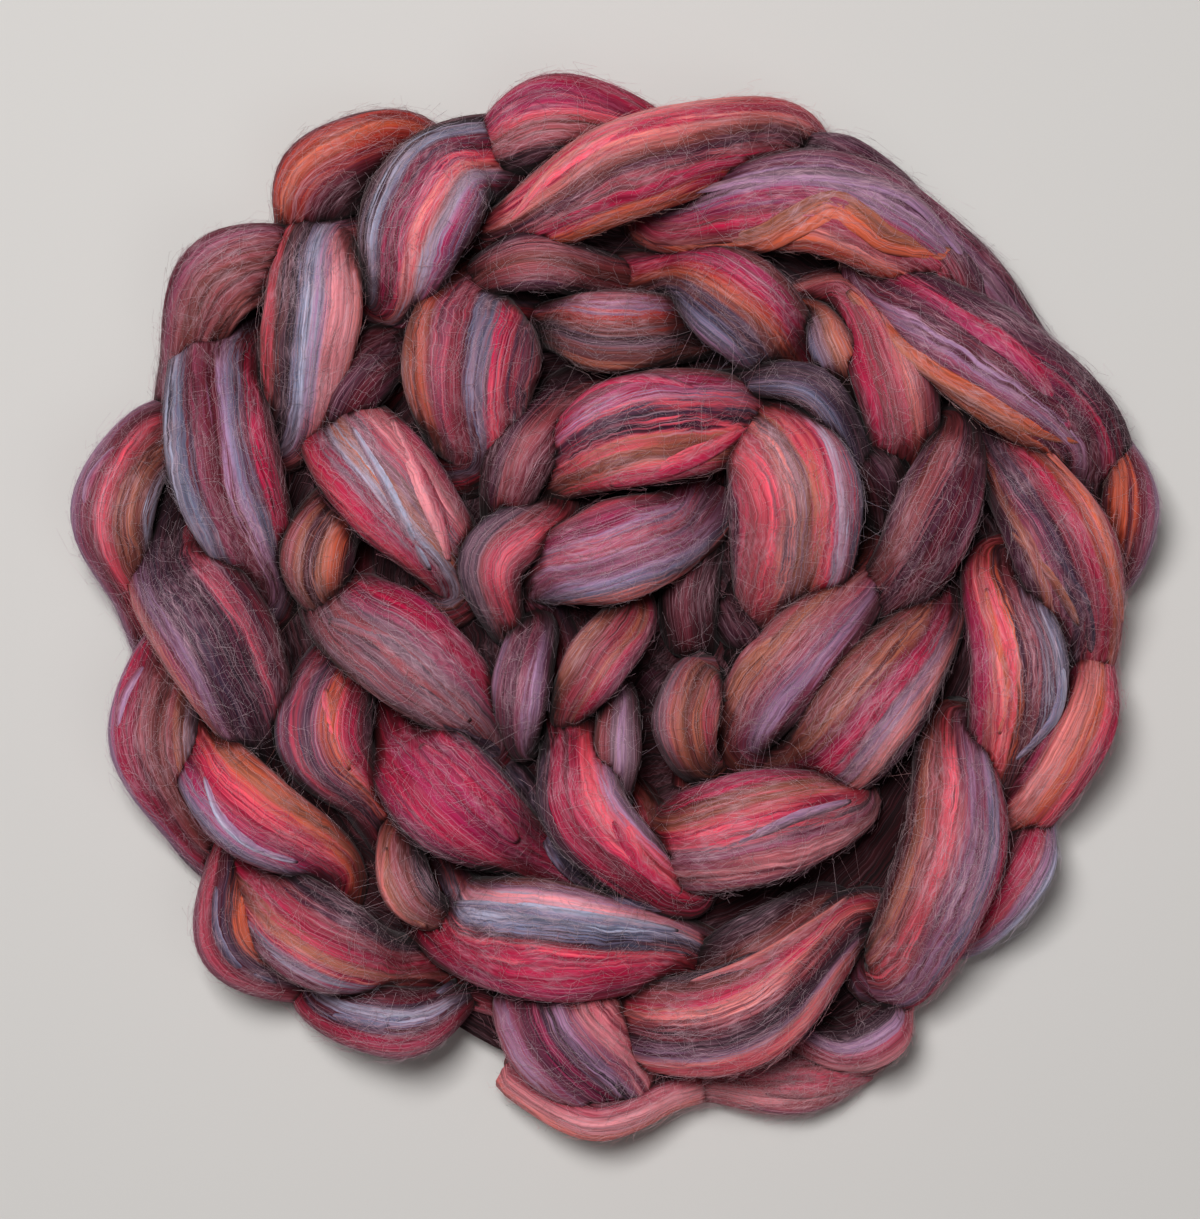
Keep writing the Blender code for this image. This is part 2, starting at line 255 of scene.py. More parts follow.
def stations_of(lobes, frayed):
    """Rows of x, y, z, width, thickness and lit share that the middle line runs through; a low lit
    share is painted shade.
    """
    rows = []
    for lobe in lobes:
        thickness = min(max(THICKNESS_SHARE * lobe.width, THINNEST), THICKEST)
        height = lobe.top - thickness / 2
        end = (min(thickness, UNDER_THICKNESS), END_LIT_SHARE)
        rise_width, dive_width = RISE_WIDTH_SHARE * lobe.width, DIVE_WIDTH_SHARE * lobe.width
        if rows:
            halfway = [(was + now) / 2 for was, now in zip(rows[-1][:2], lobe.rise)]
            under_width = min(UNDER_WIDTH, (rows[-1][3] + rise_width) / 2)
            rows.append((*halfway, UNDER_HEIGHT, under_width, min(UNDER_THICKNESS, under_width), 0))
        rows.append((*lobe.rise, RISE_SHARE * height, rise_width, *end))
        rows.append((*lobe.crown, height, lobe.width, thickness, 1))
        rows.append((*lobe.dive, DIVE_SHARE * height, dive_width, *end))
    rows[0] = (*rows[0][:3], FRAYED_TIP_WIDTH if frayed else TIP_WIDTH, TIP_THICKNESS, 1)
    rows[-1] = (*rows[-1][:3], TIP_WIDTH, TIP_THICKNESS, 0)
    rows = np.array(rows, float)
    if frayed:
        rows[:OPEN_STATIONS, 5] = 1.0
        rows[2:5, 2:5] = OPEN_RUN
    return rows


def smooth_run(stations):
    """A row for each cross-section on a smooth curve (Catmull-Rom), its station number last."""
    numbered = np.column_stack([stations, np.arange(len(stations))])
    before = np.vstack([numbered[:1], numbered[:-1]])
    after = np.vstack([numbered[1:], numbered[-1:]])
    slopes = (after - before) / 2
    rows = []
    for start, end, leaving, arriving in zip(numbered[:-1], numbered[1:], slopes[:-1], slopes[1:]):
        steps = max(2, round(float(np.linalg.norm(end[:3] - start[:3])) / RING_STEP))
        for t in np.arange(steps) / steps:
            rows.append(
                (2 * t**3 - 3 * t**2 + 1) * start
                + (t**3 - 2 * t**2 + t) * leaving
                + (3 * t**2 - 2 * t**3) * end
                + (t**3 - t**2) * arriving
            )
    rows.append(numbered[-1])
    return np.array(rows)


def closed_tube(name, points, fibre_uv, attributes):
    """A mesh of rings joined into a tube with closed ends. points is rings by sides by 3."""
    rings, sides = points.shape[:2]
    ring, side = np.meshgrid(np.arange(rings - 1), np.arange(sides), indexing="ij")
    following = (side + 1) % sides
    quads = np.stack(
        [
            ring * sides + side,
            ring * sides + following,
            (ring + 1) * sides + following,
            (ring + 1) * sides + side,
        ],
        axis=-1,
    ).reshape(-1, 4)
    first_cap = list(range(sides))[::-1]
    last_cap = list(range((rings - 1) * sides, rings * sides))
    mesh = bpy.data.meshes.new(name)
    mesh.from_pydata(points.reshape(-1, 3), [], [*quads.tolist(), first_cap, last_cap])
    corners = np.stack(
        [
            fibre_uv[ring, side],
            fibre_uv[ring, side + 1],
            fibre_uv[ring + 1, side + 1],
            fibre_uv[ring + 1, side],
        ],
        axis=2,
    ).reshape(-1, 2)
    caps = np.concatenate([fibre_uv[0, :-1][::-1], fibre_uv[-1, :-1]])
    layer = mesh.uv_layers.new(name="fibres")
    layer.data.foreach_set("uv", np.concatenate([corners, caps]).ravel())
    for title, (kind, values) in attributes.items():
        field = {"FLOAT": "value", "FLOAT_VECTOR": "vector", "FLOAT_COLOR": "color"}[kind]
        attribute = mesh.attributes.new(title, kind, "POINT")
        attribute.data.foreach_set(field, np.ascontiguousarray(values, dtype=np.float32).ravel())
    mesh.shade_smooth()
    return mesh


def combed_tube(name, run, tables, seed, sides=RING_SIDES, upward=(0.0, 0.0, 1.0), fray=0.0):
    """Combed wool swept along a run, with ridged locks, and two dye tones at every point.

    upward is the way that the flat of it faces, for the whole run or for each of its rows.
    """
    middles, widths, thicknesses, lit_share, stations = run[:, :3], *run[:, 3:].T
    along = np.gradient(middles, axis=0)
    along /= np.linalg.norm(along, axis=1)[:, None]
    across = np.cross(upward, along)
    across /= np.linalg.norm(across, axis=1)[:, None]
    outward = np.cross(along, across)
    reach = np.concatenate([[0], np.cumsum(np.linalg.norm(np.diff(middles, axis=0), axis=1))])

    lap = np.arange(sides + 1) / sides
    turn = -np.pi / 2 + 2 * np.pi * lap + CROWDING * np.sin(2 * np.pi * lap)
    s, w = np.meshgrid(reach, lap, indexing="ij")
    wander = DRIFT * soft_noise(s / DRIFT_LENGTH, DRIFTS_ROUND * w, seed, DRIFTS_ROUND)
    wander += WAVER * soft_noise(s / WAVER_LENGTH, WAVERS_ROUND * w, seed + 1, WAVERS_ROUND)
    locks = soft_noise(s / LOCK_LENGTH, LOCKS * (w + wander), seed + 2, LOCKS)
    wisps = soft_noise(s / WISP_LENGTH, WISPS * (w + wander), seed + 3, WISPS)
    folds = soft_noise(s / FOLD_LENGTH, FOLDS * (w + 0.6 * wander), seed + 4, FOLDS)
    fullness = np.minimum(widths, FULL_WIDTH)[:, None] / FULL_WIDTH
    relief = fullness * (
        FOLD_DEPTH * folds + LOCK_DEPTH * (locks - np.abs(locks)) + WISP_DEPTH * wisps
    )

    side_way, up_way = np.cos(turn), np.sin(turn)
    points = (
        middles[:, None]
        + (side_way * (widths[:, None] / 2 + relief))[..., None] * across[:, None]
        + (up_way * (thicknesses[:, None] / 2 + relief))[..., None] * outward[:, None]
    )

    height = points[..., 2]
    points[..., 2] = np.where(height < PRESSED, PRESSED * np.exp(height / PRESSED - 1), height)

    # A band is found by its share of the width. The underside is its mirror image.
    flat_share = (1 - side_way) / 2
    round_share = np.abs(((turn + np.pi) % (2 * np.pi)) - np.pi) / np.pi
    strays = soft_noise(s / WISP_STRAY_LENGTH, WISPS * (w + wander), seed + 5, WISPS) * WISP_STRAY
    strays += soft_noise(s / LOCK_STRAY_LENGTH, LOCKS * (w + wander), seed + 6, LOCKS) * LOCK_STRAY
    share = FLAT_SHARE * flat_share + ROUND_SHARE * round_share + 0.8 * wander + strays
    lobe_place = stations / STATIONS_OF_A_LOBE
    lobe_now = np.clip(lobe_place.astype(int), 0, len(tables) - 1)
    lobe_next = np.minimum(lobe_now + 1, len(tables) - 1)
    passed = (lobe_place - lobe_now - DYE_CHANGE_START) / DYE_CHANGE_RUN
    passed = np.clip(passed, 0, 1)[:, None, None]
    blend = passed * passed * (3 - 2 * passed)
    ring_bands = tables[lobe_now] * (1 - blend) + tables[lobe_next] * blend

    def tone(offset):
        spot = np.clip(share + offset, 0, 1) * (BAND_SAMPLES - 1.001)
        cell = spot.astype(int)
        part = (spot - cell)[..., None]
        rows = np.arange(len(run))[:, None]
        found = ring_bands[rows, cell] * (1 - part) + ring_bands[rows, cell + 1] * part
        return np.concatenate([found, np.ones((*found.shape[:2], 1))], axis=2)[:, :-1]

    girth = np.pi * (widths + thicknesses) / 2
    fibre_uv = np.stack([s * MM, (w + wander) * girth.mean() * MM], axis=-1)
    way = np.repeat(along[:, None], sides, axis=1)
    loose = np.repeat(np.clip(1 - reach / FRAYED_LENGTH, 0, 1) * fray, sides)
    return closed_tube(
        name,
        points[:, :-1] * MM,
        fibre_uv,
        {
            "tone_left": ("FLOAT_COLOR", tone(-BAND_OVERLAP)),
            "tone_right": ("FLOAT_COLOR", tone(BAND_OVERLAP)),
            "fibre_way": ("FLOAT_VECTOR", way),
            "fray": ("FLOAT", loose),
            "lit_share": ("FLOAT", np.repeat(lit_share, sides)),
        },
    )


class Wire:
    """An output socket of a node tree, with Python's operators for Math nodes on single values."""

    def __init__(self, tree, socket):
        self.tree, self.socket = tree, socket

    def node(self, kind, settings=None, output=0, **sockets):
        """Adds a node: its settings, then its inputs, as values or wires, by name or number."""
        made = self.tree.nodes.new(kind)
        for title, value in (settings or {}).items():
            setattr(made, title, value)
        for title, value in sockets.items():
            place = int(title[1:]) if title[1:].isdigit() else title.replace("_", " ")
            if isinstance(value, Wire):
                self.tree.links.new(value.socket, made.inputs[place])
            else:
                made.inputs[place].default_value = value
        return Wire(self.tree, made.outputs[output])

    def maths(self, operation, *terms):
        sockets = {f"i{number}": term for number, term in enumerate(terms)}
        return self.node("ShaderNodeMath", {"operation": operation}, **sockets)

    def __add__(self, other):
        return self.maths("ADD", self, other)

    def __sub__(self, other):
        return self.maths("SUBTRACT", self, other)

    def __rsub__(self, other):
        return self.maths("SUBTRACT", other, self)

    def __pow__(self, other):
        return self.maths("POWER", self, other)

    def __mul__(self, other):
        return self.maths("MULTIPLY", self, other)

    __radd__, __rmul__ = __add__, __mul__

    def ramp(self, low, high):
        """0 below low, 1 above high and smooth between."""
        settings = {"interpolation_type": "SMOOTHSTEP"}
        return self.node("ShaderNodeMapRange", settings, i0=self, i1=low, i2=high)

    def vectors(self, operation, *terms, output=0):
        """A Vector Math node on this wire and the terms."""
        settings = {"operation": operation}
        sockets = {f"i{number}": term for number, term in enumerate([self, *terms])}
        return self.node("ShaderNodeVectorMath", settings, output, **sockets)

    def scaled(self, factor):
        """This vector times a single value."""
        return self.node("ShaderNodeVectorMath", {"operation": "SCALE"}, i0=self, i3=factor)

    def mixed(self, first, second):
        """The colours first and second, mixed by this wire's value."""
        settings = {"data_type": "RGBA"}
        return self.node("ShaderNodeMix", settings, output=2, i0=self, i6=first, i7=second)

    def lit_by(self, light):
        """This colour times another, channel by channel."""
        settings = {"data_type": "RGBA", "blend_type": "MULTIPLY"}
        return self.node("ShaderNodeMix", settings, output=2, i0=1.0, i6=self, i7=light)


HEATHER = (0.27, 0.105, 0.13, 1.0)  # the tone of all the dyes combed together
HEATHER_SHARE = 0.26  # at most, of the wool's tone
PALE_HAIR = (0.58, 0.41, 0.46, 1.0)
HAZE_SHARE, ALONG_SHARE, CROSSING_SHARE = 0.30, 0.40, 0.30  # at most, of pale hairs in the tone
DEPTH_OF_DYE, LIFT_OF_DYE = 1.42, 1.46  # how deep and how bright the dyes sit in the wool
FIBRE_DRIFT, FIBRE_WAVER = 0.0016, 0.0008  # metres that the streaks wander sideways
STREAK_BASE = 0.185  # taken off the streaks, so that they are as bright as the dyes on average
BUMP_STRENGTH, BUMP_HEIGHT = 0.45, 0.0007


def wool_material(name, brightness, sheen):
    """Combed wool: two dye tones drawn into each other in fine streaks that follow the fibres,
    darkened by painted shade in the hollows and at the lobes' ends.
    """
    material = bpy.data.materials.new(name)
    material.use_nodes = True
    tree = material.node_tree
    shader = tree.nodes["Principled BSDF"]
    start = Wire(tree, None)

    uv = start.node("ShaderNodeUVMap", {"uv_map": "fibres"})
    u = uv.node("ShaderNodeSeparateXYZ", i0=uv)
    v = Wire(tree, u.socket.node.outputs[1])

    def noise(along_scale, across_scale, detail, seed):
        """Noise with so many bumps in a metre along the fibres, and across them."""
        place = u.node("ShaderNodeCombineXYZ", i0=u * along_scale, i1=v * across_scale, i2=seed)
        settings = {"noise_dimensions": "3D"}
        return u.node("ShaderNodeTexNoise", settings, Vector=place, Scale=1.0, Detail=detail)

    v = v + FIBRE_DRIFT * noise(120.0, 110.0, 1.0, 7.7)
    v = v + FIBRE_WAVER * noise(380.0, 300.0, 1.0, 8.8)
    fine = noise(110.0, 2500.0, 2.0, 1.3)
    strands = noise(60.0, 1000.0, 2.0, 4.1)
    locks = noise(28.0, 330.0, 2.0, 9.6)

    def crossing(lean, seed):
        """Fine hairs that lie over the rest at an angle."""
        along = u * math.cos(lean) + v * math.sin(lean)
        across = v * math.cos(lean) - u * math.sin(lean)
        place = u.node("ShaderNodeCombineXYZ", i0=along * 110.0, i1=across * 3000.0, i2=seed)
        hairs = u.node("ShaderNodeTexNoise", Vector=place, Scale=1.0, Detail=1.0)
        return hairs.ramp(0.58, 0.70)

    pick = (0.55 * fine + 0.45 * strands).ramp(0.42, 0.58)
    left = start.node("ShaderNodeAttribute", {"attribute_name": "tone_left"})
    right = start.node("ShaderNodeAttribute", {"attribute_name": "tone_right"})
    tone = pick.mixed(left, right)
    # Painted shade: the tone is darkened where the wool lies shut in among the lobes, by its
    # openness.
    openness = start.node("ShaderNodeAttribute", {"attribute_name": "openness"}, output=2)
    # Painted shade: a lobe's end is darkened as it dives under the next, by its lit share.
    lit_share = start.node("ShaderNodeAttribute", {"attribute_name": "lit_share"}, output=2)
    end_shading = 0.50 + 0.50 * lit_share.ramp(0.1, 0.9)
    painted_shading = 0.02 + 0.98 * openness.ramp(0.16, 0.95) ** 1.3 * end_shading
    streaks = 0.75 * strands + 0.70 * fine + 0.95 * locks - STREAK_BASE
    streaks = streaks * (0.80 + 0.20 * strands.ramp(0.34, 0.50))
    heather = noise(22.0, 1500.0, 2.0, 17.3).ramp(0.42, 0.70) * HEATHER_SHARE
    tone = heather.mixed(tone, HEATHER)
    # The painted shade and the streaks multiply the tone; the red is darkened less, so the painted
    # shade is warm.
    light = brightness * painted_shading * streaks
    warm = brightness * painted_shading**0.72 * streaks
    lit = light.node("ShaderNodeCombineColor", i0=warm, i1=light, i2=light)
    tone = tone.lit_by(lit)
    # The pale haze and hairs fade out in the painted shade.
    shaded_felt = noise(60.0, 60.0, 1.0, 31.0).ramp(0.38, 0.64) * painted_shading
    haze = shaded_felt * (0.05 + HAZE_SHARE * noise(300.0, 900.0, 2.0, 35.0).ramp(0.42, 0.72))
    tone = haze.mixed(tone, PALE_HAIR)
    pale = noise(38.0, 4200.0, 1.0, 12.9).ramp(0.55, 0.72) * ALONG_SHARE * painted_shading
    pale = pale + (crossing(0.42, 21.0) + crossing(-0.34, 25.0)) * shaded_felt * CROSSING_SHARE
    tone = pale.mixed(tone, PALE_HAIR)
    tone = tone.node("ShaderNodeGamma", Color=tone, Gamma=DEPTH_OF_DYE).scaled(LIFT_OF_DYE)
    tree.links.new(tone.socket, shader.inputs["Base Color"])

    rough = 0.62 + 0.30 * fine
    tree.links.new(rough.socket, shader.inputs["Roughness"])
    height = 0.5 * fine + 0.8 * strands + 0.8 * locks
    bump = height.node(
        "ShaderNodeBump", Strength=BUMP_STRENGTH, Distance=BUMP_HEIGHT, Height=height
    )
    tree.links.new(bump.socket, shader.inputs["Normal"])
    shader.inputs["Sheen Weight"].default_value = sheen
    shader.inputs["Sheen Roughness"].default_value = 0.45
    shader.inputs["Sheen Tint"].default_value = (1.0, 0.86, 0.88, 1.0)
    shader.inputs["Specular IOR Level"].default_value = 0.12
    return material


def piece(name, mesh, material):
    """A finished mesh as a piece that rides with the braid and takes the wool's finish."""
    made = bpy.data.objects.new(name, mesh)
    bpy.context.collection.objects.link(made)
    mesh.materials.clear()
    mesh.materials.append(material)
    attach(made, "root")
    return made


combed_wool = wool_material("combed_wool", brightness=1.0, sheen=0.06)
strand_meshes = []
for letter, lobes, seed, fray in (
    ("a", STRAND_A, 10, 1.0),
    ("b", STRAND_B, 20, 0.0),
    ("c", STRAND_C, 30, 0.0),
):
    run = smooth_run(stations_of(lobes, frayed=fray > 0))
    tables = np.array([bands_of(lobe.dyes) for lobe in lobes])
    strand_meshes.append(combed_tube(f"strand_{letter}", run, tables, seed, fray=fray))
for mesh in strand_meshes:
    strand = piece(mesh.name, mesh, combed_wool)
    if mesh.name == "strand_a":
        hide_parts("braid")

# --------------------------------------------------------------------------------------------------
# The bed of wool in the coil. The hollows between the lobes are floored with the undersides of the
# strands, pressed together, whose dark dyes are partly painted shade. It is one lumpy cushion just
# above the floor, and with it in place each point of the strands can feel how deep in the hollows
# it lies, which sets the painted shade in its tone.
# --------------------------------------------------------------------------------------------------

ALL_LOBES = (*STRAND_A, *STRAND_B, *STRAND_C)
BED_BEARINGS, BED_RINGS = 120, 30
BED_INSET = 6.0  # from the middle lines of the outer lobes in to the rim
BED_HEIGHT, BED_LUMPS = 13.5, 2.5
BED_BASE, BED_RIM_HEIGHT = 9.0, 10.0
BED_NEAR = 0.22  # the lobes within this angle of a bearing set where the rim is
BED_RIM_SLOPE = 6  # how steeply the rim climbs
BED_LUMP_SIZE, BED_PATCH_SIZE = 9, 14  # of its lumps and of its dyes
FIBRE_LENGTH_ROUND, FIBRE_WIDTH_ACROSS = 0.08, 0.12  # metres in a radian, and from middle to rim

# The feelers are rays that lean out all round from a point of the wool, and one straight out of
# it. Their start, off the wool, and their reach are in metres.
FEELERS, FEELER_START, FEELER_REACH = 8, 0.0006, 0.030
FEELER_RISE, FEELER_TWIST, STRAIGHT_WEIGHT = 0.62, 0.37, 2


def underside_mesh():
    """A lumpy cushion of wool under the whole coil, its fibres lying round it, dyed dark partly as
    painted shade.
    """
    crowns = np.array([lobe.crown for lobe in ALL_LOBES], float)
    bearings = np.arctan2(crowns[:, 1], crowns[:, 0])
    distances = np.linalg.norm(crowns, axis=1)
    turns = np.linspace(-np.pi, np.pi, BED_BEARINGS, endpoint=False)
    apart = np.abs((turns[:, None] - bearings + np.pi) % (2 * np.pi) - np.pi)
    rim = np.where(apart < BED_NEAR, distances, 0).max(axis=1) - BED_INSET
    rim = np.mean([np.roll(rim, shift) for shift in range(-4, 5)], axis=0)
    share, bearing = np.meshgrid(np.linspace(1, 0.02, BED_RINGS), turns, indexing="ij")
    x, y = share * rim * np.cos(bearing), share * rim * np.sin(bearing)
    inward = np.clip((1 - share) * BED_RIM_SLOPE, 0, 1)
    lumps = soft_noise(x / BED_LUMP_SIZE + 60, y / BED_LUMP_SIZE + 60, 41)
    top = BED_RIM_HEIGHT + (BED_HEIGHT - BED_RIM_HEIGHT + BED_LUMPS * lumps) * inward
    points = np.concatenate(
        [np.stack([x, y, np.full_like(x, BED_BASE)], axis=-1)[::-1], np.stack([x, y, top], axis=-1)]
    )
    turns_round = np.concatenate([bearing, bearing])[..., None] * [FIBRE_LENGTH_ROUND, 0]
    spread = np.concatenate([-share[::-1], share])[..., None] * [0, FIBRE_WIDTH_ACROSS]
    fibre_uv = turns_round + spread
    whole_turn = [2 * np.pi * FIBRE_LENGTH_ROUND, 0]
    fibre_uv = np.concatenate([fibre_uv, fibre_uv[:, :1] + whole_turn], axis=1)
    # Painted shade: the top is given half the openness of the bottom, so the material darkens it.
    shade = np.concatenate([np.full_like(x, 1.0), np.full_like(x, 0.5)])
    # The wine and charcoal dyes are the undersides' colour, kept dark partly as painted shade in
    # the hollows.
    patches = soft_noise(*(points[..., axis] / BED_PATCH_SIZE + 90 for axis in (0, 1)), 43)
    dark = patches[..., None] * 0.5 + 0.5
    tone = linear("wine") * dark + linear("charcoal") * (1 - dark)
    tone = np.concatenate([tone, np.ones_like(dark)], axis=2)
    round_way = np.stack([-np.sin(bearing), np.cos(bearing), np.zeros_like(x)], axis=-1)
    return closed_tube(
        "underside",
        points * MM,
        fibre_uv,
        {
            "tone_left": ("FLOAT_COLOR", tone),
            "tone_right": ("FLOAT_COLOR", tone * [1.5, 1.1, 1.1, 1.0]),
            "fibre_way": ("FLOAT_VECTOR", np.concatenate([round_way[::-1], round_way])),
            "fray": ("FLOAT", np.zeros_like(shade)),
            "lit_share": ("FLOAT", np.ones_like(shade)),
            "openness": ("FLOAT", shade),
        },
    )


def solid_wool(meshes):
    """The meshes together, for rays to hit."""
    corners, faces = [], []
    for mesh in meshes:
        first = len(corners)
        corners.extend(vert.co.copy() for vert in mesh.vertices)
        faces.extend([first + index for index in face.vertices] for face in mesh.polygons)
    return BVHTree.FromPolygons(corners, faces)


def add_openness(meshes, wool):
    """Stores how far each point lies open to the light, from 0, shut in, to 1, by feeling rays; the
    materials paint shade with it.
    """
    for mesh in meshes:
        values = np.empty(len(mesh.vertices), np.float32)
        for number, vert in enumerate(mesh.vertices):
            normal = vert.normal
            side = normal.orthogonal()
            other = normal.cross(side)
            start = vert.co + normal * FEELER_START
            clear = 0.0
            for turn in range(FEELERS):
                angle = 2 * np.pi * (turn + FEELER_TWIST * (number % 3)) / FEELERS
                lean = side * float(np.cos(angle)) + other * float(np.sin(angle))
                way = (FEELER_RISE * normal + lean).normalized()
                hit = wool.ray_cast(start, way, FEELER_REACH)[3]
                clear += 1.0 if hit is None else hit / FEELER_REACH
            hit = wool.ray_cast(start, normal, FEELER_REACH)[3]
            clear += STRAIGHT_WEIGHT * (1.0 if hit is None else hit / FEELER_REACH)
            values[number] = clear / (FEELERS + STRAIGHT_WEIGHT)
        attribute = mesh.attributes.new("openness", "FLOAT", "POINT")
        attribute.data.foreach_set("value", values)


bed_mesh = underside_mesh()
wool = solid_wool([*strand_meshes, bed_mesh])
add_openness(strand_meshes, wool)
piece("underside", bed_mesh, combed_wool)

# --------------------------------------------------------------------------------------------------
# The loose locks. Thin locks of one or two dyes have worked out of the strands and lie over them.
# Each is a thin tube of the same combed wool, laid on the wool below it along a few points.
# --------------------------------------------------------------------------------------------------

# Dyes, width and route of each, in millimetres.
LOOSE_LOCKS = (
    ("tan orange", 8, [(7, 93), (22, 90), (36, 91), (45, 95), (54, 99), (62, 95), (68, 91),
        (79, 89), (89, 88)]),
    ("grey lilac", 4, [(19, 103), (36, 106), (54, 106), (72, 102), (83, 93), (90, 84)]),
    ("orange tan", 6, [(59, 79), (68, 68), (79, 58), (92, 50), (106, 43), (118, 41)]),
    ("crimson magenta", 6, [(75, 80), (87, 71), (100, 61), (109, 51), (114, 44)]),
    ("salmon coral", 5, [(-26, 96), (-16, 106), (-4, 114), (9, 120)]),
    ("dusk brown", 4, [(-106, 79), (-96, 85), (-84, 88)]),
    ("lilac mauve", 3, [(-132, 21), (-131, 31), (-125, 40)]),
    ("mauve lilac", 3, [(-124, -34), (-123, -24), (-118, -15)]),
    ("lilac ice", 3.5, [(-102, -43), (-97, -53), (-89, -60), (-79, -64)]),
    ("steel slate", 3, [(-100, -71), (-99, -82), (-94, -90), (-85, -95)]),
    ("steel slate", 4, [(-71, -103), (-58, -105), (-48, -101), (-40, -95)]),
    ("tan salmon", 3.5, [(-57, -61), (-56, -72), (-47, -81)]),
    ("orange coral", 4, [(-72, -21), (-70, -31), (-66, -41)]),
    ("ice steel", 4, [(-40, -75), (-24, -75), (-4, -78), (16, -82)]),
    ("slate steel", 6.5, [(-47, -27), (-38, -32), (-28, -39), (-21, -48), (-16, -60), (-6, -71),
        (6, -75), (20, -76)]),
    ("crimson magenta", 6, [(-48, -35), (-36, -46), (-24, -59)]),
    ("coral crimson", 7, [(-3, -46), (2, -56), (8, -65), (17, -72)]),
    ("grey lilac", 3.5, [(59, -49), (46, -52), (36, -56), (25, -61)]),
    ("salmon dusk", 4, [(19, -94), (36, -88), (52, -79), (59, -74)]),
    ("ice steel", 4, [(109, -12), (111, -19), (109, -29), (100, -39)]),
    ("coral orange", 4.5, [(93, 4), (96, -9), (98, -21), (96, -32)]),
    ("tan brown", 3.5, [(99, 18), (109, 6), (116, -5)]),
    ("salmon orange", 5, [(108, 39), (118, 26), (124, 11), (128, -4)]),
    ("slate plum", 4, [(102, 24), (110, 11), (118, -1), (120, -12)]),
    ("dusk tan", 6, [(28, -24), (33, -14), (42, -6)]),
    ("mauve crimson", 4, [(-14, 46), (-4, 54), (9, 56), (22, 53)]),
    ("coral crimson", 6, [(-1, 30), (12, 34), (24, 39), (34, 45)]),
    ("rose pink", 6, [(-55, 46), (-50, 35), (-44, 22), (-41, 11)]),
    ("ice grey", 4, [(-65, 44), (-57, 31), (-50, 16), (-46, 9)]),
    ("grey dusk", 6, [(-71, -4), (-58, -9), (-46, -19), (-36, -29)]),
    ("dusk rose", 6, [(38, -119), (48, -119), (57, -119), (64, -118)]),
    ("rose dusk", 5, [(36, -123), (48, -123), (58, -122), (66, -121)]),
    ("dusk mauve", 5, [(34, -127), (44, -128), (53, -127), (60, -125)]),
)
LOCK_THICKNESS, LOCK_SUNK, LOCK_SIDES = 2.2, 0.35, 20
LOCK_END_WIDTH, LOCK_END_THICKNESS = 0.2, 0.3  # at its tips, as shares of those at its middle
ABOVE = 0.1  # a height that is clear of all the wool
DOWN = Vector((0.0, 0.0, -1.0))


def smoothed(values, reach=4):
    """Each row averaged with its neighbours, up to reach rows away."""
    kernel = np.hanning(2 * reach + 3)[1:-1]
    padded = np.pad(values, ((reach, reach), (0, 0)), mode="edge")
    columns = [np.convolve(column, kernel / kernel.sum(), "valid") for column in padded.T]
    return np.stack(columns, axis=1)


def lock_mesh(name, dyes, width, route, seed):
    """A thin lock that tapers to both ends, laid on the wool along its route."""
    run = smooth_run(np.array([(x, y, 0.0, width, LOCK_THICKNESS, 1.0) for x, y in route]))
    heights, facing = [], []
    for x, y in run[:, :2]:
        place, normal = wool.ray_cast(Vector((x * MM, y * MM, ABOVE)), DOWN)[:2]
        heights.append([place.z / MM] if place else heights[-1])
        facing.append(list(normal) if place else facing[-1])
    share = np.linspace(0, 1, len(run))
    swell = np.sin(np.pi * np.clip(share, 0.01, 0.99)) ** 0.6
    run[:, 2] = smoothed(np.array(heights))[:, 0] - LOCK_SUNK - (1 - swell) * LOCK_THICKNESS * 0.5
    run[:, 3] *= LOCK_END_WIDTH + (1 - LOCK_END_WIDTH) * swell
    run[:, 4] *= LOCK_END_THICKNESS + (1 - LOCK_END_THICKNESS) * swell
    upward = smoothed(np.array(facing))
    return combed_tube(name, run, np.array([bands_of(dyes)]), seed, LOCK_SIDES, upward)


def joined(name, meshes):
    """The meshes as one, with their attributes."""
    parts = []
    for mesh in meshes:
        part = bpy.data.objects.new("part", mesh)
        bpy.context.collection.objects.link(part)
        parts.append(part)
    with bpy.context.temp_override(
        active_object=parts[0], object=parts[0], selected_editable_objects=parts
    ):
        bpy.ops.object.join()
    whole = parts[0].data
    bpy.data.objects.remove(parts[0], do_unlink=True)
    whole.name = name
    return whole


lock_meshes = [
    lock_mesh(f"lock_{number}", dyes, width, route, 100 + 10 * number)
    for number, (dyes, width, route) in enumerate(LOOSE_LOCKS)
]
locks = joined("loose_locks", lock_meshes)
add_openness([locks], wool)
piece("loose_locks", locks, combed_wool)

# --------------------------------------------------------------------------------------------------
# The stray hairs. Combing leaves fine crimped hairs of wool that stand a little off each strand and
# lie over it at all angles, thickest at the frayed outer end. Nodes plant a short fuzz and a few
# longer hairs on the strands' own faces, bend them to the wool and make them mesh.
# --------------------------------------------------------------------------------------------------

# In metres and radians: points are those along a hair, density is hairs in a square metre, stray
# is the widest angle to the fibres, lift is the height of the free end, and crimp is how far the
# hair waves.
HairKind = namedtuple("HairKind", "name points density length width stray lift crimp")
HAIR_KINDS = (
    HairKind("fuzz", 5, 200000.0, 0.0075, 0.000045, 1.2, 0.0018, 0.0100),
    HairKind("stray_hairs", 10, 23000.0, 0.0200, 0.000045, 1.0, 0.0034, 0.0200),
)
HAIR_CLEARANCE = 0.0003  # least height over the floor
FRAY_GROWTH = 5.5  # how many times more hairs grow at the frayed end
WAVES = 190.0  # of a hair's crimp, in a metre
HAIR_NUMBERS = 90.0  # the highest of the three chance numbers that each hair carries
WASHED_HAIR = (0.74, 0.55, 0.60, 1.0)


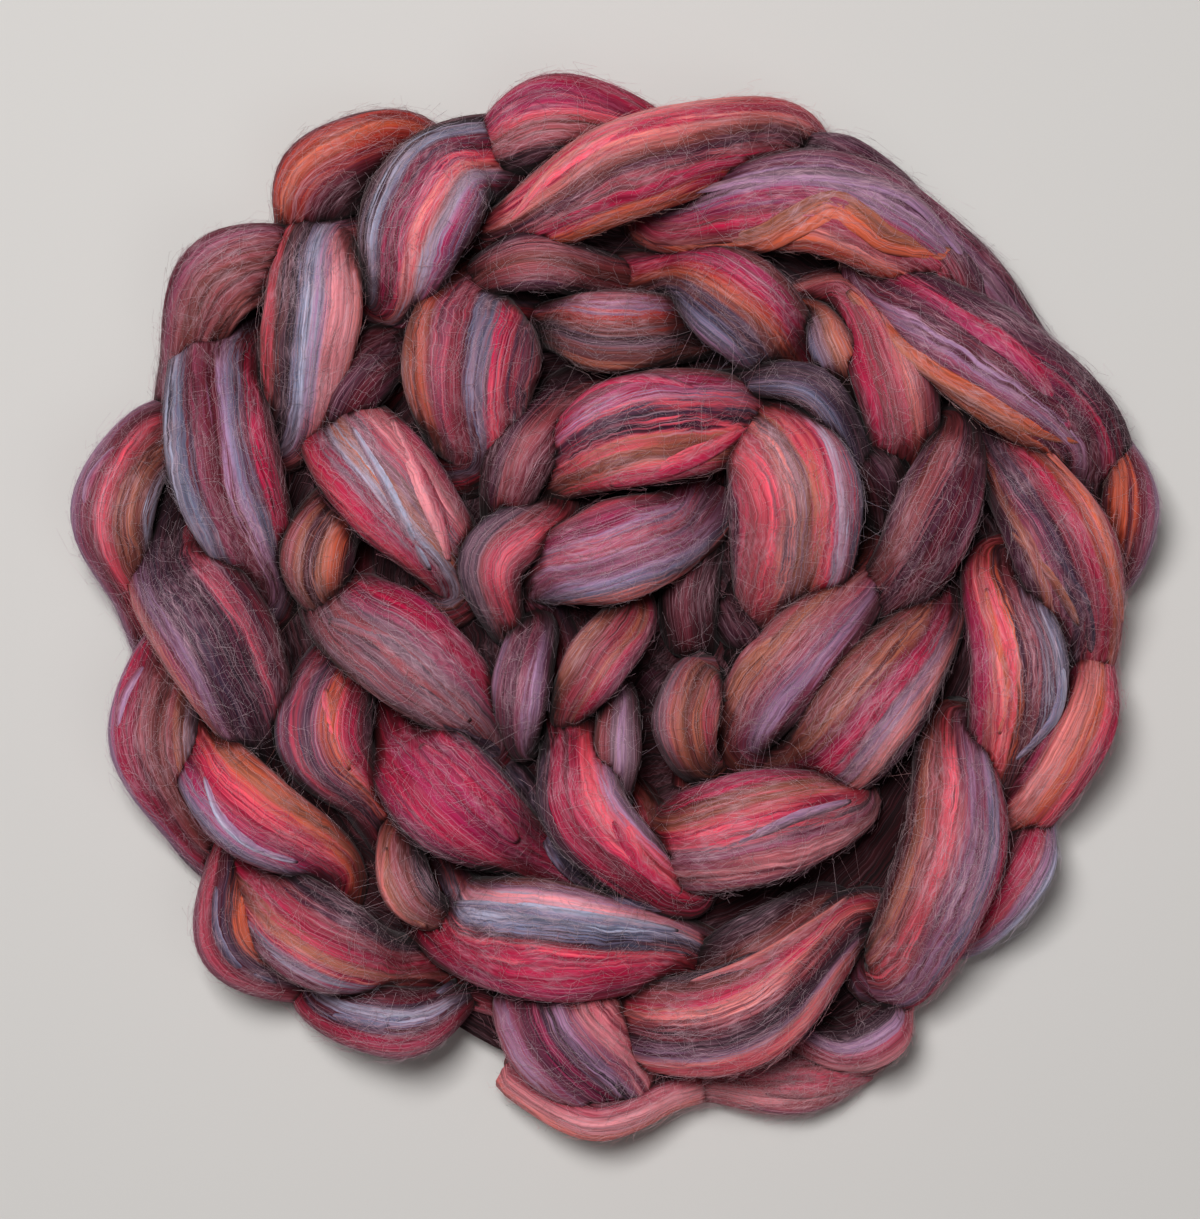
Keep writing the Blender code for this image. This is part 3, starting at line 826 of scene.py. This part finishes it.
def hair_tree():
    """The nodes that plant hairs over a mesh, lay them along its fibres and bend them to it."""
    tree = bpy.data.node_groups.new("stray_hairs", "GeometryNodeTree")
    face = tree.interface
    face.new_socket("Wool", in_out="INPUT", socket_type="NodeSocketGeometry")
    for title, kind in (
        ("Hairs in a square metre", "NodeSocketFloat"),
        ("Length", "NodeSocketFloat"),
        ("Width", "NodeSocketFloat"),
        ("Stray angle", "NodeSocketFloat"),
        ("Lift", "NodeSocketFloat"),
        ("Crimp", "NodeSocketFloat"),
        ("Points", "NodeSocketInt"),
        ("Seed", "NodeSocketInt"),
        ("Finish", "NodeSocketMaterial"),
    ):
        face.new_socket(title, in_out="INPUT", socket_type=kind)
    face.new_socket("Hairs", in_out="OUTPUT", socket_type="NodeSocketGeometry")
    given = tree.nodes.new("NodeGroupInput")
    wool, density, length, width, stray, lift, crimp, hair_points, seed, finish = (
        Wire(tree, socket) for socket in given.outputs[:10]
    )
    start = Wire(tree, None)

    def named(title, kind="FLOAT"):
        return start.node("GeometryNodeInputNamedAttribute", {"data_type": kind}, Name=title)

    def chance(low, high, step):
        numbers = {"i2": low, "i3": high, "Seed": seed + float(step)}
        return start.node("FunctionNodeRandomValue", {"data_type": "FLOAT"}, output=1, **numbers)

    tilt = start.node("ShaderNodeSeparateXYZ", output=2, i0=start.node("GeometryNodeInputNormal"))
    planted = (named("openness") ** 2.0 + FRAY_GROWTH * named("fray")) * tilt.ramp(-0.8, 0.1)
    points = start.node(
        "GeometryNodeDistributePointsOnFaces",
        {"distribute_method": "RANDOM"},
        Mesh=wool,
        Density=planted * density,
        Seed=seed,
    )
    normal = Wire(tree, points.socket.node.outputs["Normal"])
    spread = start.node(
        "FunctionNodeRandomValue",
        {"data_type": "FLOAT_VECTOR"},
        Min=(0.0, 0.0, 0.0),
        Max=(HAIR_NUMBERS, HAIR_NUMBERS, HAIR_NUMBERS),
        Seed=seed,
    )
    points = keep(points, "hair_number", "FLOAT_VECTOR", spread)
    points = keep(points, "hair_up", "FLOAT_VECTOR", normal)

    upright = start.node("FunctionNodeAlignRotationToVector", {"axis": "Z"}, Vector=normal)
    combed = start.node(
        "FunctionNodeAlignRotationToVector",
        {"axis": "X", "pivot_axis": "Z"},
        Rotation=upright,
        Vector=named("fibre_way", "FLOAT_VECTOR"),
    )
    lean = chance(-1.0, 1.0, 1)
    turn = start.node("ShaderNodeCombineXYZ", i2=lean * lean * lean * stray)
    turn = start.node("FunctionNodeEulerToRotation", Euler=turn)
    laid = start.node(
        "FunctionNodeRotateRotation", {"rotation_space": "LOCAL"}, Rotation=combed, Rotate_By=turn
    )
    line = start.node("GeometryNodeCurvePrimitiveLine", Start=(-0.5, 0, 0), End=(0.5, 0, 0))
    line = start.node("GeometryNodeResampleCurve", Curve=line, Count=hair_points)
    size = length * chance(0.45, 1.25, 2)
    hairs = start.node(
        "GeometryNodeInstanceOnPoints",
        Points=points,
        Instance=line,
        Rotation=laid,
        Scale=start.node("ShaderNodeCombineXYZ", i0=size, i1=size, i2=size),
    )
    hairs = start.node("GeometryNodeRealizeInstances", Geometry=hairs)

    along = start.node("GeometryNodeSplineParameter")
    place = start.node("GeometryNodeInputPosition")
    number = named("hair_number", "FLOAT_VECTOR")
    ripple = place.scaled(WAVES).vectors("ADD", number)
    wave = start.node("ShaderNodeTexNoise", output=1, Vector=ripple, Scale=1.0, Detail=1.0)
    sway = wave.vectors("SUBTRACT", (0.5, 0.5, 0.5)).scaled(crimp * 2.0)
    swayed = place.vectors("ADD", sway)
    faces = {"target_element": "FACES"}
    near = start.node("GeometryNodeProximity", faces, Geometry=wool, i2=swayed)
    free_end = along * along
    hug = 1.0 - 0.35 * free_end * number.vectors("DOT_PRODUCT", (0.011, 0.0, 0.0), output=1)
    vector = {"data_type": "VECTOR"}
    held = start.node("ShaderNodeMix", vector, output=1, i0=hug, i4=swayed, i5=near)
    height = lift * (0.12 + free_end * number.vectors("DOT_PRODUCT", (0.0, 0.011, 0.0), output=1))
    raised = named("hair_up", "FLOAT_VECTOR").scaled(height)
    clear_of_floor = held.vectors("ADD", raised).vectors("MAXIMUM", (-1.0, -1.0, HAIR_CLEARANCE))
    hairs = start.node("GeometryNodeSetPosition", Geometry=hairs, Position=clear_of_floor)
    hairs = start.node("GeometryNodeSetCurveRadius", Curve=hairs, Radius=1.0 - 0.6 * along)
    ring = start.node("GeometryNodeCurvePrimitiveCircle", Resolution=3, Radius=width * 0.5)
    hairs = start.node("GeometryNodeCurveToMesh", Curve=hairs, Profile_Curve=ring, Fill_Caps=True)
    hairs = start.node("GeometryNodeSetMaterial", Geometry=hairs, Material=finish)
    result = tree.nodes.new("NodeGroupOutput")
    tree.links.new(hairs.socket, result.inputs["Hairs"])
    return tree


def keep(points, title, kind, value):
    """Stores a value on each point by name, so that the hair grown there carries it."""
    settings = {"data_type": kind, "domain": "POINT"}
    return points.node(
        "GeometryNodeStoreNamedAttribute", settings, Geometry=points, Name=title, Value=value
    )


def hair_material():
    """Lightly dyed hair: the tone of the wool it grows from, paler by chance, with painted shade
    where the wool lies shut in.
    """
    material = bpy.data.materials.new("stray_hair")
    material.use_nodes = True
    tree = material.node_tree
    shader = tree.nodes["Principled BSDF"]
    start = Wire(tree, None)
    tone = start.node("ShaderNodeAttribute", {"attribute_name": "tone_left"})
    number = start.node("ShaderNodeAttribute", {"attribute_name": "hair_number"}, output=1)
    openness = start.node("ShaderNodeAttribute", {"attribute_name": "openness"}, output=2)
    chance = start.node("ShaderNodeSeparateXYZ", i0=number)
    pale = 0.26 + 0.56 * (chance * (1 / HAIR_NUMBERS)).ramp(0.2, 1.0)
    tone = pale.mixed(tone, WASHED_HAIR)
    # Painted shade from the openness of the wool that the hair grows from.
    light = 0.08 + 1.0 * openness.ramp(0.25, 1.0)
    lit = light.node("ShaderNodeCombineColor", i0=light, i1=light, i2=light)
    tone = tone.lit_by(lit)
    tree.links.new(tone.socket, shader.inputs["Base Color"])
    shader.inputs["Roughness"].default_value = 0.6
    shader.inputs["Specular IOR Level"].default_value = 0.35
    return material


hairs_grow = hair_tree()
stray_hair = hair_material()
for kind in HAIR_KINDS:
    for letter, strand in zip("abc", strand_meshes):
        bed = bpy.data.objects.new("hair_bed", strand.copy())
        bpy.context.collection.objects.link(bed)
        growth = bed.modifiers.new("growth", "NODES")
        growth.node_group = hairs_grow
        sizes = {
            "Hairs in a square metre": kind.density,
            "Length": kind.length,
            "Width": kind.width,
            "Stray angle": kind.stray,
            "Lift": kind.lift,
            "Crimp": kind.crimp,
            "Points": kind.points,
            "Seed": 70 + kind.points + ord(letter),
            "Finish": stray_hair,
        }
        for item in hairs_grow.interface.items_tree:
            if item.in_out == "INPUT" and item.name in sizes:
                growth[item.identifier] = sizes[item.name]
        graph = bpy.context.evaluated_depsgraph_get()
        grown = bpy.data.meshes.new_from_object(bed.evaluated_get(graph))
        bpy.data.objects.remove(bed, do_unlink=True)
        grown.shade_smooth()
        piece(f"{kind.name}_{letter}", grown, stray_hair)

# --------------------------------------------------------------------------------------------------
# The surface it lies on, the light and the camera. The floor is a sheet of pale paper, and two soft
# lamps stand over it. The camera looks straight down.
# --------------------------------------------------------------------------------------------------

FLOOR_SIZE = 6.0
LAMPS = (  # name, place, size across in metres, power in watts
    ("window_light", (-0.22, 0.34, 1.35), 0.45, 19.0),
    ("fill_light", (0.5, -0.5, 1.5), 1.0, 2.5),
)
EYE = (-0.0035, -0.0011, 1.030)
SENSOR = 36.0
VIEW_WIDTH, VIEW_DISTANCE = 0.300, 1.000  # what the picture takes in, at the height of the crowns

floor_mesh = bpy.data.meshes.new("floor")
half = FLOOR_SIZE / 2
floor_corners = [(-half, -half, 0), (half, -half, 0), (half, half, 0), (-half, half, 0)]
floor_mesh.from_pydata(floor_corners, [], [(0, 1, 2, 3)])
floor = bpy.data.objects.new("floor", floor_mesh)
bpy.context.collection.objects.link(floor)
paper = bpy.data.materials.new("pale_paper")
paper.use_nodes = True
paper_shader = paper.node_tree.nodes["Principled BSDF"]
paper_shader.inputs["Base Color"].default_value = (0.62, 0.60, 0.58, 1.0)
paper_shader.inputs["Roughness"].default_value = 0.9
floor_mesh.materials.append(paper)

for name, place, size, power in LAMPS:
    lamp = bpy.data.lights.new(name, "AREA")
    lamp.energy, lamp.size = power, size
    light = bpy.data.objects.new(name, lamp)
    light.location = place
    light.rotation_euler = Vector(place).to_track_quat("Z", "Y").to_euler()
    bpy.context.collection.objects.link(light)

world = bpy.data.worlds.new("studio")
world.use_nodes = True
background = world.node_tree.nodes["Background"]
background.inputs["Color"].default_value = (1.0, 0.98, 0.96, 1.0)
background.inputs["Strength"].default_value = 0.05
bpy.context.scene.world = world
bpy.context.scene.view_settings.view_transform = "Standard"

lens = bpy.data.cameras.new("camera")
lens.sensor_fit = "HORIZONTAL"
lens.sensor_width = SENSOR
lens.lens = SENSOR * VIEW_DISTANCE / VIEW_WIDTH
camera = bpy.data.objects.new("camera", lens)
camera.location = EYE
bpy.context.collection.objects.link(camera)
bpy.context.scene.camera = camera
